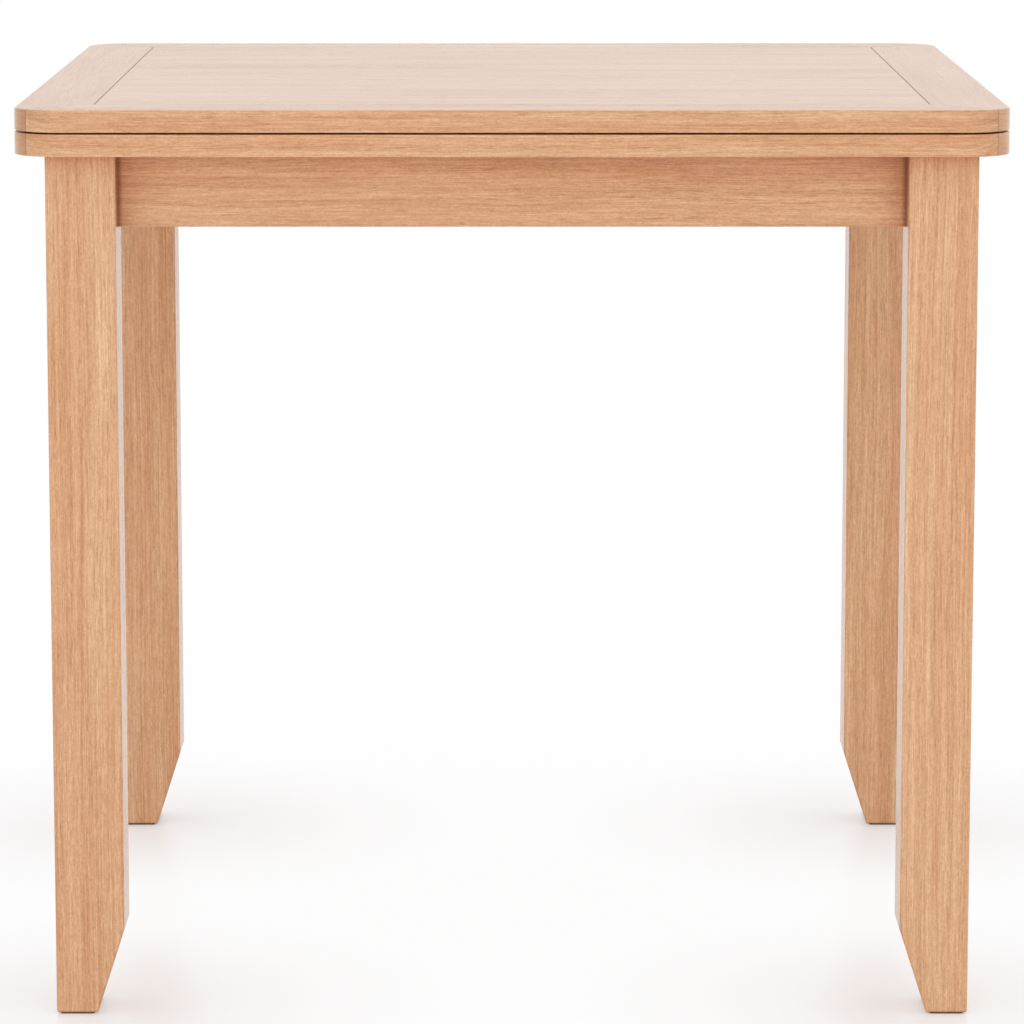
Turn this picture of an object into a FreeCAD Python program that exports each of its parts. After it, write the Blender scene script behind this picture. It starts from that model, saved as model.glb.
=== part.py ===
"""Swivel extending table: a square dining table whose two folded leaves turn and open out.

Millimetres. +X is to the right, +Y to the back, +Z up. The origin is on the floor, under the
centre of the frame. The table is closed: the upper leaf lies folded on the lower leaf.

How it works: the lower leaf turns a quarter turn about the pivot bolt, until its hinged edge
crosses the middle of the frame. The upper leaf then folds over by half a turn, on link hinges
let into that edge, and lies level with the lower leaf on the other half of the frame.
"""
import FreeCAD, Part
import math
import os

Vector = FreeCAD.Vector
ORIGIN = Vector(0, 0, 0)
X_AXIS = Vector(1, 0, 0)
Y_AXIS = Vector(0, 1, 0)
Z_AXIS = Vector(0, 0, 1)

# --- Top: two equal leaves -------------------------------------------------------------------
TOP_WIDTH = 850.0            # closed, left to right
TOP_DEPTH = 850.0            # closed, front to back; opened it is twice this
TOP_HEIGHT = 792.0           # floor to the face of the closed top
LEAF_THICKNESS = 19.0
LEAF_GAP = 1.5               # between the folded leaves
TOP_CORNER_RADIUS = 42.0
FACE_ARRIS = 2.0             # rounding round the face of the closed top
UNDER_ARRIS = 0.6            # rounding round the lower leaf's underside
GAP_ARRIS = 0.5              # chamfer round the faces that meet when folded
HINGE_EDGE_ROUND = 2.0       # larger rounding there, which clears the fold
LEAF_RAIL_WIDTH = 66.0       # mitred rails round the panel
GROOVE_DEPTH = 0.8           # V-groove between the panel and the end rails
TONGUE_THICKNESS = 6.0
TONGUE_DEPTH = 9.0
TONGUE_CLEARANCE = 0.1

# --- Frame -----------------------------------------------------------------------------------
SIDE_OVERHANG = 27.0         # top beyond the legs, left and right
END_OVERHANG = 20.0          # top beyond the legs, front and back
LEG_SIZE = 60.0              # square section
FOOT_WIDTH = 36.0            # after the taper on the inner side
FOOT_TAPER_HEIGHT = 76.0     # floor to the start of the taper
LEG_ARRIS = 2.0
FOOT_ARRIS = 2.0
APRON_HEIGHT = 63.0
APRON_THICKNESS = 20.0
APRON_RECESS = 28.0          # apron face behind the leg face
APRON_ARRIS = 1.0
RAIL_THICKNESS = 24.0        # both cross rails
PIVOT_RAIL_WIDTH = 110.0
SUPPORT_RAIL_WIDTH = 70.0

# --- Foot pads, glides and bumpers -----------------------------------------------------------
FOOT_PAD_THICKNESS = 1.5
FOOT_PAD_INSET = 3.0
FOOT_PAD_CORNER = 3.0
GLIDE_RISE = 1.2             # glide above the frame, which is also the gap under the leaf
GLIDE_DEPTH = 2.0            # glide let into the wood
GLIDE_RADIUS = 12.0
GLIDE_SPACING = 400.0        # between the two on the support rail
BUMPER_RADIUS = 5.0
BUMPER_EDGE_DISTANCE = 33.0  # from the leaf's side edges
BUMPER_SPACING = 560.0       # front pair to back pair

# --- Corner joints ---------------------------------------------------------------------------
DOWEL_RADIUS = 4.0
DOWEL_IN_LEG = 14.0
DOWEL_IN_APRON = 16.0
DOWEL_SPACING = 30.0         # the two in one joint, one above the other
CORNER_BLOCK_HEIGHT = 50.0
CORNER_BLOCK_THICKNESS = 24.0
CORNER_BLOCK_GAP = 2.8       # between the block and the leg, which lets the bolt pull tight
LEG_FLAT = 10.0              # chamfer on the leg's inner corner, behind the apron
BOLT_RADIUS = 4.0
BOLT_IN_LEG = 28.0
BOLT_BEYOND_NUT = 3.0
BOLT_HOLE_CLEARANCE = 0.5
WASHER_RADIUS = 12.0
WASHER_THICKNESS = 2.0
NUT_ACROSS_FLATS = 13.0
NUT_HEIGHT = 6.5
BLOCK_SCREW_RADIUS = 2.0
BLOCK_SCREW_IN_BLOCK = 12.0
BLOCK_SCREW_IN_APRON = 14.0
BLOCK_SCREW_HEAD_RADIUS = 3.8
BLOCK_SCREW_HEAD_HEIGHT = 2.4
BLOCK_SCREW_OFFSET = 24.0    # from the leg's face to the screw
BLOCK_SCREW_SPACING = 30.0
COUNTERBORE_CLEARANCE = 0.7

# --- Cross rail joints -----------------------------------------------------------------------
RAIL_DOWEL_IN_APRON = 12.0
RAIL_DOWEL_IN_RAIL = 18.0
RAIL_DOWEL_EDGE = 18.0       # dowel centre to the rail's side edge

# --- Swivel ----------------------------------------------------------------------------------
SWIVEL_TRAVEL = 90.0         # degrees
SWIVEL_PLATE_RADIUS = 55.0
SWIVEL_PLATE_THICKNESS = 4.0
SWIVEL_SCREW_CIRCLE = 46.0
SWIVEL_SCREW_COUNT = 6
SWIVEL_SCREW_LENGTH = 15.0
PIVOT_BOLT_RADIUS = 6.0
PIVOT_HEAD_RADIUS = 12.0
PIVOT_HEAD_THICKNESS = 3.0
PIVOT_BEYOND_NUT = 3.0
BUSH_RADIUS = 10.0
BUSH_FLANGE_RADIUS = 17.0
STOP_PIN_RADIUS = 4.0
STOP_PIN_CIRCLE = 38.0
STOP_PIN_START = 225.0       # degrees round the pivot from +X, when the table is closed
STOP_PIN_IN_SLOT = 17.0
STOP_SLOT_CLEARANCE = 0.3
FRICTION_WASHER_THICKNESS = 2.0
PRESSURE_WASHER_THICKNESS = 2.0
PIVOT_WASHER_RADIUS = 18.0
SPRING_WASHER_RADIUS = 14.0
SPRING_WASHER_THICKNESS = 1.1
SPRING_WASHER_RISE = 0.8
LOCK_NUT_ACROSS_FLATS = 19.0
LOCK_NUT_HEIGHT = 12.0

# --- Link hinges -----------------------------------------------------------------------------
HINGE_END_DISTANCE = 145.0   # outer hinges from the leaf's ends
HINGE_OPEN_GAP = 2.0         # between the leaf edges when the table is open
HINGE_PIN_DEPTH = 3.5        # pin centre below the leaf's face
HINGE_PIN_RADIUS = 1.2
HINGE_PLATE_WIDTH = 34.0
HINGE_PLATE_LENGTH = 32.0
HINGE_PLATE_THICKNESS = 2.5
HINGE_LUG_WIDTH = 20.0
HINGE_LUG_WALL = 0.8         # behind and below the link's slot
LINK_WIDTH = 8.0
LINK_SINK = 0.2              # link's edge below the leaf's face when open
LINK_CLEARANCE = 0.25
HINGE_SCREW_LENGTH = 13.0
HINGE_SCREW_SPREAD = 11.5    # the outer two from the middle of the plate
HINGE_SCREW_NEAR_ROW = 15.0  # from the leaf's edge
HINGE_SCREW_FAR_ROW = 25.0

# --- Countersunk screws, in both kinds of plate ----------------------------------------------
SCREW_RADIUS = 1.6
SCREW_HEAD_RADIUS = 3.2
SCREW_HEAD_HEIGHT = 1.8
SCREW_HEAD_SINK = 0.1
SCREW_SLOT_WIDTH = 0.8
SCREW_SLOT_DEPTH = 0.6

# --- Fits ------------------------------------------------------------------------------------
FIT = 0.05                   # radial, round every pin, bolt, dowel and screw
HOLE_END = 0.5               # blind holes are this much deeper than what goes in
POCKET_CLEARANCE = 0.1       # round inset plates and glides
CUT = 5.0                    # how far a cutting solid runs past the face that it cuts

# --- Levels and outlines worked out from the sizes above -------------------------------------
UPPER_LEAF_Z = TOP_HEIGHT - LEAF_THICKNESS
LOWER_LEAF_TOP_Z = UPPER_LEAF_Z - LEAF_GAP
LOWER_LEAF_Z = LOWER_LEAF_TOP_Z - LEAF_THICKNESS
FRAME_TOP_Z = LOWER_LEAF_Z - GLIDE_RISE
APRON_Z = FRAME_TOP_Z - APRON_HEIGHT
APRON_MID_Z = FRAME_TOP_Z - APRON_HEIGHT / 2
RAIL_Z = FRAME_TOP_Z - RAIL_THICKNESS
FRAME_LEFT = -TOP_WIDTH / 2 + SIDE_OVERHANG
FRAME_FRONT = -TOP_DEPTH / 2 + END_OVERHANG
APRON_INNER = APRON_RECESS + APRON_THICKNESS     # leg face to the apron's inner face
PANEL_WIDTH = TOP_WIDTH - 2 * LEAF_RAIL_WIDTH
PANEL_DEPTH = TOP_DEPTH - 2 * LEAF_RAIL_WIDTH
HINGE_EDGE_Y = TOP_DEPTH / 2
HINGE_PIN_OFFSET = HINGE_PIN_DEPTH + LEAF_GAP / 2    # pin to the middle of the open joint
HINGE_PIN_Y = HINGE_EDGE_Y + HINGE_OPEN_GAP / 2 - HINGE_PIN_OFFSET
LINK_RADIUS = HINGE_PIN_DEPTH - LINK_SINK
PIVOT_XY = (HINGE_EDGE_Y + HINGE_OPEN_GAP / 2) / 2    # a quarter turn brings the joint to x = 0
DIAGONAL = Vector(1, 1, 0).normalize()


# --- Small solids ----------------------------------------------------------------------------
def box(x0, x1, y0, y1, z0, z1):
    return Part.makeBox(x1 - x0, y1 - y0, z1 - z0, Vector(x0, y0, z0))


def rod(radius, start, direction, length):
    return Part.makeCylinder(radius, length, start, direction)


def prism(outline, direction):
    """A closed outline of 3-D points, pushed along a vector."""
    return Part.Face(Part.makePolygon(outline + outline[:1])).extrude(direction)


def ring(outer_radius, inner_radius, start, direction, height):
    solid = rod(outer_radius, start, direction, height)
    return solid.cut(rod(inner_radius, start, direction, height))


def hexagon_nut(across_flats, bore_radius, start, direction, height):
    corner_radius = across_flats / math.sqrt(3)
    corners = [
        Vector(
            corner_radius * math.cos(math.radians(60 * i)),
            corner_radius * math.sin(math.radians(60 * i)),
            0,
        )
        for i in range(6)
    ]
    nut = prism(corners, Vector(0, 0, height))
    nut = nut.cut(rod(bore_radius, ORIGIN, Z_AXIS, height))
    nut.Placement = FreeCAD.Placement(start, FreeCAD.Rotation(Z_AXIS, direction))
    return nut


def rounded_plate(width, depth, height, radius):
    plate = box(-width / 2, width / 2, -depth / 2, depth / 2, 0, height)
    uprights = [edge for edge in plate.Edges if edge.BoundBox.ZLength > height / 2]
    return plate.makeFillet(radius, uprights)


def edges_at_height(shape, z):
    return [
        edge
        for edge in shape.Edges
        if abs(edge.BoundBox.ZMin - z) < 1e-6 and abs(edge.BoundBox.ZMax - z) < 1e-6
    ]


def cut_all(shape, cutters):
    for cutter in cutters:
        shape = shape.cut(cutter)
    return shape


def countersunk_screw(x, y, z, length):
    """Pointing up, with its slotted head at the face at height z."""
    start = Vector(x, y, z + SCREW_HEAD_SINK)
    head = Part.makeCone(SCREW_HEAD_RADIUS, SCREW_RADIUS, SCREW_HEAD_HEIGHT, start, Z_AXIS)
    screw = head.fuse(rod(SCREW_RADIUS, start, Z_AXIS, length))
    slot = box(
        x - SCREW_HEAD_RADIUS,
        x + SCREW_HEAD_RADIUS,
        y - SCREW_SLOT_WIDTH / 2,
        y + SCREW_SLOT_WIDTH / 2,
        z,
        z + SCREW_HEAD_SINK + SCREW_SLOT_DEPTH,
    )
    return screw.cut(slot)


def countersunk_hole(x, y, z, length):
    face = Vector(x, y, z)
    mouth = rod(SCREW_HEAD_RADIUS + FIT, face - Z_AXIS * CUT, Z_AXIS, CUT + SCREW_HEAD_SINK)
    cone = Part.makeCone(
        SCREW_HEAD_RADIUS + FIT,
        SCREW_RADIUS + FIT,
        SCREW_HEAD_HEIGHT,
        face + Z_AXIS * SCREW_HEAD_SINK,
        Z_AXIS,
    )
    shank = rod(SCREW_RADIUS + FIT, face, Z_AXIS, SCREW_HEAD_SINK + length + HOLE_END)
    return mouth.fuse([cone, shank])


# --- Leaves, drawn with the meeting face at z = 0 and the hinged edge at the back -------------
def leaf_blank(outer_arris):
    """The whole leaf before it is parted into its boards."""
    blank = rounded_plate(TOP_WIDTH, TOP_DEPTH, LEAF_THICKNESS, TOP_CORNER_RADIUS)
    blank = blank.makeFillet(outer_arris, edges_at_height(blank, LEAF_THICKNESS))
    blank = blank.makeChamfer(GAP_ARRIS, edges_at_height(blank, 0))
    round_y = HINGE_EDGE_Y - HINGE_EDGE_ROUND
    corner = box(
        -TOP_WIDTH / 2 - CUT,
        TOP_WIDTH / 2 + CUT,
        round_y,
        HINGE_EDGE_Y + CUT,
        -CUT,
        HINGE_EDGE_ROUND,
    )
    rounding = rod(
        HINGE_EDGE_ROUND,
        Vector(-TOP_WIDTH / 2 - CUT, round_y, HINGE_EDGE_ROUND),
        X_AXIS,
        TOP_WIDTH + 2 * CUT,
    )
    return blank.cut(corner.cut(rounding))


def v_grooves():
    """Along both sides of the panel, on both faces of the leaf."""
    grooves = []
    for x in (-PANEL_WIDTH / 2, PANEL_WIDTH / 2):
        for z in (0, LEAF_THICKNESS):
            diamond = [
                Vector(x - GROOVE_DEPTH, -PANEL_DEPTH / 2, z),
                Vector(x, -PANEL_DEPTH / 2, z + GROOVE_DEPTH),
                Vector(x + GROOVE_DEPTH, -PANEL_DEPTH / 2, z),
                Vector(x, -PANEL_DEPTH / 2, z - GROOVE_DEPTH),
            ]
            grooves.append(prism(diamond, Vector(0, PANEL_DEPTH, 0)))
    return grooves


def tongue(clearance):
    half_width = PANEL_WIDTH / 2 + TONGUE_DEPTH + clearance
    half_depth = PANEL_DEPTH / 2 + TONGUE_DEPTH + clearance
    half_thickness = TONGUE_THICKNESS / 2 + clearance
    middle = LEAF_THICKNESS / 2
    return box(
        -half_width,
        half_width,
        -half_depth,
        half_depth,
        middle - half_thickness,
        middle + half_thickness,
    )


def leaf_panel():
    panel = box(
        -PANEL_WIDTH / 2, PANEL_WIDTH / 2, -PANEL_DEPTH / 2, PANEL_DEPTH / 2, 0, LEAF_THICKNESS
    )
    return cut_all(panel.fuse(tongue(0)), v_grooves())


def leaf_rails(blank):
    """Four rails round the panel, mitred at the corners."""
    inner = [(-PANEL_WIDTH / 2, -PANEL_DEPTH / 2), (PANEL_WIDTH / 2, -PANEL_DEPTH / 2)]
    inner += [(PANEL_WIDTH / 2, PANEL_DEPTH / 2), (-PANEL_WIDTH / 2, PANEL_DEPTH / 2)]
    reach = 1 + (LEAF_RAIL_WIDTH + CUT) / (PANEL_WIDTH / 2)
    reach_y = 1 + (LEAF_RAIL_WIDTH + CUT) / (PANEL_DEPTH / 2)
    outer = [(x * reach, y * reach_y) for x, y in inner]
    rails = {}
    for i, side in enumerate(("front", "right", "back", "left")):
        following = (i + 1) % len(inner)
        corners = [outer[i], outer[following], inner[following], inner[i]]
        wedge = prism(
            [Vector(x, y, -CUT) for x, y in corners], Vector(0, 0, LEAF_THICKNESS + 2 * CUT)
        )
        rail = blank.common(wedge).cut(tongue(TONGUE_CLEARANCE))
        rails[side] = cut_all(rail, v_grooves())
    return rails


# --- Link hinges, drawn on the same leaf -----------------------------------------------------
def hinge_positions():
    outer_x = TOP_WIDTH / 2 - HINGE_END_DISTANCE
    return {"left": -outer_x, "middle": 0.0, "right": outer_x}


def hinge_screw_positions(x):
    near_y = HINGE_EDGE_Y - HINGE_SCREW_NEAR_ROW
    far_y = HINGE_EDGE_Y - HINGE_SCREW_FAR_ROW
    return [(x - HINGE_SCREW_SPREAD, near_y), (x + HINGE_SCREW_SPREAD, near_y), (x, far_y)]


def hinge_plate_body(x, clearance):
    """Flat plate with the lug block under it; with a clearance, the pocket that takes it."""
    lug_reach = LINK_RADIUS + LINK_CLEARANCE + HINGE_LUG_WALL
    open_end = CUT if clearance else 0
    plate = box(
        x - HINGE_PLATE_WIDTH / 2 - clearance,
        x + HINGE_PLATE_WIDTH / 2 + clearance,
        HINGE_EDGE_Y - HINGE_PLATE_LENGTH - clearance,
        HINGE_EDGE_Y + open_end,
        -open_end,
        HINGE_PLATE_THICKNESS,
    )
    lug = box(
        x - HINGE_LUG_WIDTH / 2 - clearance,
        x + HINGE_LUG_WIDTH / 2 + clearance,
        HINGE_PIN_Y - lug_reach - clearance,
        HINGE_EDGE_Y + open_end,
        -open_end,
        HINGE_PIN_DEPTH + lug_reach + clearance,
    )
    return plate.fuse(lug)


def hinge_plate(blank, x):
    slot_half_width = LINK_WIDTH / 2 + LINK_CLEARANCE
    slot_reach = LINK_RADIUS + LINK_CLEARANCE
    slot = box(
        x - slot_half_width,
        x + slot_half_width,
        HINGE_PIN_Y - slot_reach,
        HINGE_EDGE_Y + CUT,
        -CUT,
        LEAF_THICKNESS,
    )
    pin_start = Vector(x - HINGE_LUG_WIDTH, HINGE_PIN_Y, HINGE_PIN_DEPTH)
    pin_hole = rod(HINGE_PIN_RADIUS + FIT, pin_start, X_AXIS, 2 * HINGE_LUG_WIDTH)
    screws = [
        countersunk_hole(sx, sy, 0, HINGE_SCREW_LENGTH) for sx, sy in hinge_screw_positions(x)
    ]
    plate = hinge_plate_body(x, 0).common(blank)
    return cut_all(plate, [slot, pin_hole] + screws)


def hinge_pocket(x):
    screws = [
        countersunk_hole(sx, sy, 0, HINGE_SCREW_LENGTH) for sx, sy in hinge_screw_positions(x)
    ]
    return hinge_plate_body(x, POCKET_CLEARANCE).fuse(screws)


def hinge_screws():
    return [
        countersunk_screw(sx, sy, 0, HINGE_SCREW_LENGTH)
        for x in hinge_positions().values()
        for sx, sy in hinge_screw_positions(x)
    ]


def leaf_parts(outer_arris):
    """Every piece that both leaves have, by name."""
    blank = leaf_blank(outer_arris)
    rails = leaf_rails(blank)
    rails["back"] = cut_all(rails["back"], [hinge_pocket(x) for x in hinge_positions().values()])
    parts = {"leaf_panel": leaf_panel()}
    for side, rail in rails.items():
        parts[f"leaf_{side}_rail"] = rail
    for place, x in hinge_positions().items():
        parts[f"hinge_plate_{place}"] = hinge_plate(blank, x)
    parts["hinge_screws"] = Part.makeCompound(hinge_screws())
    return parts


def as_upper(shape):
    return shape.translated(Vector(0, 0, UPPER_LEAF_Z))


def as_lower(shape):
    return shape.mirror(ORIGIN, Z_AXIS).translated(Vector(0, 0, LOWER_LEAF_TOP_Z))


def hinge_pin_heights():
    return (LOWER_LEAF_TOP_Z - HINGE_PIN_DEPTH, UPPER_LEAF_Z + HINGE_PIN_DEPTH)


def hinge_link(x):
    """A bar with round ends, upright while the leaves are folded."""
    low, high = hinge_pin_heights()
    start_x = x - LINK_WIDTH / 2
    link = box(
        start_x,
        start_x + LINK_WIDTH,
        HINGE_PIN_Y - LINK_RADIUS,
        HINGE_PIN_Y + LINK_RADIUS,
        low,
        high,
    )
    for z in (low, high):
        link = link.fuse(rod(LINK_RADIUS, Vector(start_x, HINGE_PIN_Y, z), X_AXIS, LINK_WIDTH))
    for z in (low, high):
        hole_start = Vector(start_x, HINGE_PIN_Y, z)
        link = link.cut(rod(HINGE_PIN_RADIUS + FIT, hole_start, X_AXIS, LINK_WIDTH))
    return link.removeSplitter()


def hinge_pins():
    return Part.makeCompound(
        [
            rod(
                HINGE_PIN_RADIUS,
                Vector(x - HINGE_LUG_WIDTH / 2, HINGE_PIN_Y, z),
                X_AXIS,
                HINGE_LUG_WIDTH,
            )
            for x in hinge_positions().values()
            for z in hinge_pin_heights()
        ]
    )


# --- Swivel ----------------------------------------------------------------------------------
def pivot_point(z):
    return Vector(PIVOT_XY, PIVOT_XY, z)


def around_pivot(radius, degrees, z):
    angle = math.radians(degrees)
    return pivot_point(z) + Vector(radius * math.cos(angle), radius * math.sin(angle), 0)


def swivel_screw_points():
    step = 360.0 / SWIVEL_SCREW_COUNT
    return [around_pivot(SWIVEL_SCREW_CIRCLE, i * step, LOWER_LEAF_Z) for i in range(SWIVEL_SCREW_COUNT)]


def swivel_screw_holes():
    return [
        countersunk_hole(point.x, point.y, point.z, SWIVEL_SCREW_LENGTH)
        for point in swivel_screw_points()
    ]


def swivel_plate():
    plate = rod(SWIVEL_PLATE_RADIUS, pivot_point(LOWER_LEAF_Z), Z_AXIS, SWIVEL_PLATE_THICKNESS)
    bolt_hole = rod(
        PIVOT_BOLT_RADIUS + FIT, pivot_point(LOWER_LEAF_Z), Z_AXIS, SWIVEL_PLATE_THICKNESS
    )
    pin_hole = rod(
        STOP_PIN_RADIUS + FIT,
        around_pivot(STOP_PIN_CIRCLE, STOP_PIN_START, LOWER_LEAF_Z),
        Z_AXIS,
        SWIVEL_PLATE_THICKNESS,
    )
    return cut_all(plate, [bolt_hole, pin_hole] + swivel_screw_holes())


def swivel_plate_screws():
    return Part.makeCompound(
        [
            countersunk_screw(point.x, point.y, point.z, SWIVEL_SCREW_LENGTH)
            for point in swivel_screw_points()
        ]
    )


def swivel_pocket():
    """In the underside of the lower panel: the plate, the bolt's head and the screws."""
    plate = rod(
        SWIVEL_PLATE_RADIUS + POCKET_CLEARANCE,
        pivot_point(LOWER_LEAF_Z - CUT),
        Z_AXIS,
        CUT + SWIVEL_PLATE_THICKNESS,
    )
    head = rod(
        PIVOT_HEAD_RADIUS + POCKET_CLEARANCE,
        pivot_point(LOWER_LEAF_Z),
        Z_AXIS,
        SWIVEL_PLATE_THICKNESS + PIVOT_HEAD_THICKNESS + HOLE_END,
    )
    return plate.fuse([head] + swivel_screw_holes())


def lock_nut_z():
    """Underside of the stack that the nut draws up against the pivot rail."""
    stack = FRICTION_WASHER_THICKNESS + PRESSURE_WASHER_THICKNESS
    return RAIL_Z - stack - SPRING_WASHER_THICKNESS - SPRING_WASHER_RISE


def pivot_bolt():
    plate_top = LOWER_LEAF_Z + SWIVEL_PLATE_THICKNESS
    end = lock_nut_z() - LOCK_NUT_HEIGHT - PIVOT_BEYOND_NUT
    head = rod(PIVOT_HEAD_RADIUS, pivot_point(plate_top), Z_AXIS, PIVOT_HEAD_THICKNESS)
    return head.fuse(rod(PIVOT_BOLT_RADIUS, pivot_point(end), Z_AXIS, plate_top - end))


def stop_pin():
    bottom = FRAME_TOP_Z - STOP_PIN_IN_SLOT
    start = around_pivot(STOP_PIN_CIRCLE, STOP_PIN_START, bottom)
    return rod(STOP_PIN_RADIUS, start, Z_AXIS, LOWER_LEAF_Z + SWIVEL_PLATE_THICKNESS - bottom)


def stop_slot():
    """Curved slot through the pivot rail, as long as the swivel's travel."""
    half_width = STOP_PIN_RADIUS + STOP_SLOT_CLEARANCE
    start = pivot_point(RAIL_Z - CUT)
    height = RAIL_THICKNESS + 2 * CUT
    slot = Part.makeCylinder(STOP_PIN_CIRCLE + half_width, height, start, Z_AXIS, SWIVEL_TRAVEL)
    slot = slot.cut(rod(STOP_PIN_CIRCLE - half_width, start, Z_AXIS, height))
    slot.rotate(start, Z_AXIS, STOP_PIN_START)
    for degrees in (STOP_PIN_START, STOP_PIN_START + SWIVEL_TRAVEL):
        end = around_pivot(STOP_PIN_CIRCLE, degrees, RAIL_Z - CUT)
        slot = slot.fuse(rod(half_width, end, Z_AXIS, height))
    return slot


def pivot_bush():
    flange = rod(BUSH_FLANGE_RADIUS, pivot_point(FRAME_TOP_Z), Z_AXIS, GLIDE_RISE)
    bush = flange.fuse(rod(BUSH_RADIUS, pivot_point(RAIL_Z), Z_AXIS, RAIL_THICKNESS))
    bore = rod(
        PIVOT_BOLT_RADIUS + FIT, pivot_point(RAIL_Z), Z_AXIS, RAIL_THICKNESS + GLIDE_RISE
    )
    return bush.cut(bore)


def pivot_washer(thickness, top_z):
    start = pivot_point(top_z - thickness)
    return ring(PIVOT_WASHER_RADIUS, PIVOT_BOLT_RADIUS + FIT, start, Z_AXIS, thickness)


def spring_washer():
    """A shallow cone, open towards the nut."""
    bore = PIVOT_BOLT_RADIUS + FIT
    bottom = lock_nut_z()
    section = [
        Vector(bore, 0, bottom),
        Vector(bore, 0, bottom + SPRING_WASHER_THICKNESS),
        Vector(SPRING_WASHER_RADIUS, 0, bottom + SPRING_WASHER_THICKNESS + SPRING_WASHER_RISE),
        Vector(SPRING_WASHER_RADIUS, 0, bottom + SPRING_WASHER_RISE),
    ]
    face = Part.Face(Part.makePolygon(section + section[:1]))
    return face.revolve(ORIGIN, Z_AXIS, 360).translated(pivot_point(0))


def swivel_parts():
    friction_z = RAIL_Z - FRICTION_WASHER_THICKNESS
    nut_start = pivot_point(lock_nut_z() - LOCK_NUT_HEIGHT)
    return {
        "swivel_plate": swivel_plate(),
        "swivel_plate_screws": swivel_plate_screws(),
        "pivot_bolt": pivot_bolt(),
        "stop_pin": stop_pin(),
        "pivot_bush": pivot_bush(),
        "friction_washer": pivot_washer(FRICTION_WASHER_THICKNESS, RAIL_Z),
        "pressure_washer": pivot_washer(PRESSURE_WASHER_THICKNESS, friction_z),
        "spring_washer": spring_washer(),
        "lock_nut": hexagon_nut(
            LOCK_NUT_ACROSS_FLATS, PIVOT_BOLT_RADIUS + FIT, nut_start, Z_AXIS, LOCK_NUT_HEIGHT
        ),
    }


# --- Corner joints, drawn at the front left corner -------------------------------------------
def corner_point(inward_x, inward_y, z):
    """Measured inwards from the outer faces of the front left leg."""
    return Vector(FRAME_LEFT + inward_x, FRAME_FRONT + inward_y, z)


def pair_heights(spacing):
    return (APRON_MID_Z - spacing / 2, APRON_MID_Z + spacing / 2)


def corner_dowels(clearance, end_clearance):
    middle = APRON_RECESS + APRON_THICKNESS / 2
    start = LEG_SIZE - DOWEL_IN_LEG - end_clearance
    length = DOWEL_IN_LEG + DOWEL_IN_APRON + 2 * end_clearance
    radius = DOWEL_RADIUS + clearance
    dowels = []
    for z in pair_heights(DOWEL_SPACING):
        dowels.append(rod(radius, corner_point(start, middle, z), X_AXIS, length))
        dowels.append(rod(radius, corner_point(middle, start, z), Y_AXIS, length))
    return dowels


def block_diagonal():
    """Distances along the corner's diagonal: leg flat, block's outer and inner faces."""
    leg_flat = (2 * LEG_SIZE - LEG_FLAT) / math.sqrt(2)
    outer = leg_flat + CORNER_BLOCK_GAP
    return leg_flat, outer, outer + CORNER_BLOCK_THICKNESS


def on_diagonal(distance):
    return corner_point(0, 0, APRON_MID_Z) + DIAGONAL * distance


def bolt_span():
    leg_flat, _, inner = block_diagonal()
    start = leg_flat - BOLT_IN_LEG
    end = inner + WASHER_THICKNESS + NUT_HEIGHT + BOLT_BEYOND_NUT
    return start, end


def hanger_bolt():
    start, end = bolt_span()
    return rod(BOLT_RADIUS, on_diagonal(start), DIAGONAL, end - start)


def hanger_washer():
    _, _, inner = block_diagonal()
    return ring(WASHER_RADIUS, BOLT_RADIUS + FIT, on_diagonal(inner), DIAGONAL, WASHER_THICKNESS)


def hanger_nut():
    _, _, inner = block_diagonal()
    start = on_diagonal(inner + WASHER_THICKNESS)
    return hexagon_nut(NUT_ACROSS_FLATS, BOLT_RADIUS + FIT, start, DIAGONAL, NUT_HEIGHT)


def block_screw_lines():
    """Start of each screw under its head, and the way it points into the apron."""
    depth = APRON_INNER + BLOCK_SCREW_IN_BLOCK
    along = LEG_SIZE + BLOCK_SCREW_OFFSET
    lines = []
    for z in pair_heights(BLOCK_SCREW_SPACING):
        lines.append((corner_point(depth, along, z), Vector(-1, 0, 0)))
        lines.append((corner_point(along, depth, z), Vector(0, -1, 0)))
    return lines


def block_screws():
    length = BLOCK_SCREW_IN_BLOCK + BLOCK_SCREW_IN_APRON
    screws = []
    for start, way in block_screw_lines():
        head = rod(BLOCK_SCREW_HEAD_RADIUS, start, -way, BLOCK_SCREW_HEAD_HEIGHT)
        screws.append(head.fuse(rod(BLOCK_SCREW_RADIUS, start, way, length)))
    return screws


def block_screw_holes():
    length = BLOCK_SCREW_IN_BLOCK + BLOCK_SCREW_IN_APRON + HOLE_END
    bore = BLOCK_SCREW_HEAD_RADIUS + COUNTERBORE_CLEARANCE
    holes = []
    for start, way in block_screw_lines():
        counterbore = rod(bore, start, -way, LEG_SIZE)
        holes.append(counterbore.fuse(rod(BLOCK_SCREW_RADIUS + FIT, start, way, length)))
    return holes


def corner_block():
    _, outer, inner = block_diagonal()
    near = outer * math.sqrt(2) - APRON_INNER
    far = inner * math.sqrt(2) - APRON_INNER
    z = APRON_MID_Z - CORNER_BLOCK_HEIGHT / 2
    outline = [
        corner_point(APRON_INNER, near, z),
        corner_point(near, APRON_INNER, z),
        corner_point(far, APRON_INNER, z),
        corner_point(APRON_INNER, far, z),
    ]
    block = prism(outline, Vector(0, 0, CORNER_BLOCK_HEIGHT))
    bolt_hole = rod(
        BOLT_RADIUS + BOLT_HOLE_CLEARANCE, on_diagonal(outer - CUT), DIAGONAL, inner - outer + 2 * CUT
    )
    return cut_all(block, [bolt_hole] + block_screw_holes())


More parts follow.
